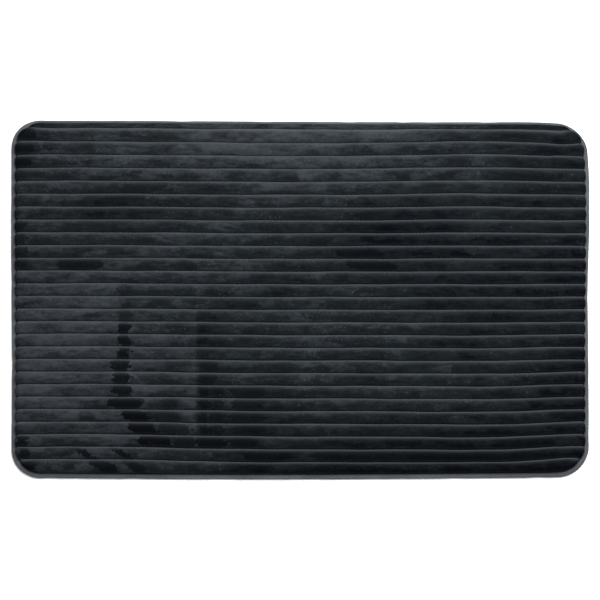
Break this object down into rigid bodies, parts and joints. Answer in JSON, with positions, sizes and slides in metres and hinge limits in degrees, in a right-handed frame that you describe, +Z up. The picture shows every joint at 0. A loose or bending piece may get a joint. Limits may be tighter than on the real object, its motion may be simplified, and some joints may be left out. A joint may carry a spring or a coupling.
{
  "type": "bath mat",
  "caption": "Rectangular memory foam bath mat with rounded corners, a channel-quilted plush cover in parallel ribs, a bound edge and a non-slip backing.",
  "frame": {"origin": "centre of the mat's underside, on the surface that it lies on", "axes": "+X along the ribs and the mat's length, +Y across the ribs towards the edge with the narrow first rib, +Z up through the mat's thickness"},
  "size_m": [0.8, 0.5, 0.018],
  "materials": {
    "plush": "dark charcoal cut-pile polyester plush, soft and matt with a pale sheen at grazing angles",
    "binding": "charcoal plush tape, folded over the edge, lighter than the ribs",
    "grip_backing": "dark woven polyester cloth with small moulded grip dots",
    "memory_foam": "open-cell slow-recovery polyurethane foam, off-white, matt",
    "scrim": "white spun-bonded non-woven",
    "thread": "charcoal spun polyester sewing thread"
  },
  "bodies": {
    "root": {"top_cover": "plush", "edge_binding": "binding", "grip_backing": "grip_backing", "memory_foam_core": "memory_foam", "quilt_scrim": "scrim", "binding_stitch": "thread", "channel_stitch_01": "thread", "channel_stitch_02": "thread", "channel_stitch_03": "thread", "channel_stitch_04": "thread", "channel_stitch_05": "thread", "channel_stitch_06": "thread", "channel_stitch_07": "thread", "channel_stitch_08": "thread", "channel_stitch_09": "thread", "channel_stitch_10": "thread", "channel_stitch_11": "thread", "channel_stitch_12": "thread", "channel_stitch_13": "thread", "channel_stitch_14": "thread", "channel_stitch_15": "thread", "channel_stitch_16": "thread", "channel_stitch_17": "thread", "channel_stitch_18": "thread", "channel_stitch_19": "thread", "channel_stitch_20": "thread", "channel_stitch_21": "thread", "channel_stitch_22": "thread", "channel_stitch_23": "thread", "channel_stitch_24": "thread", "channel_stitch_25": "thread", "channel_stitch_26": "thread", "channel_stitch_27": "thread"}
  },
  "joints": []
}
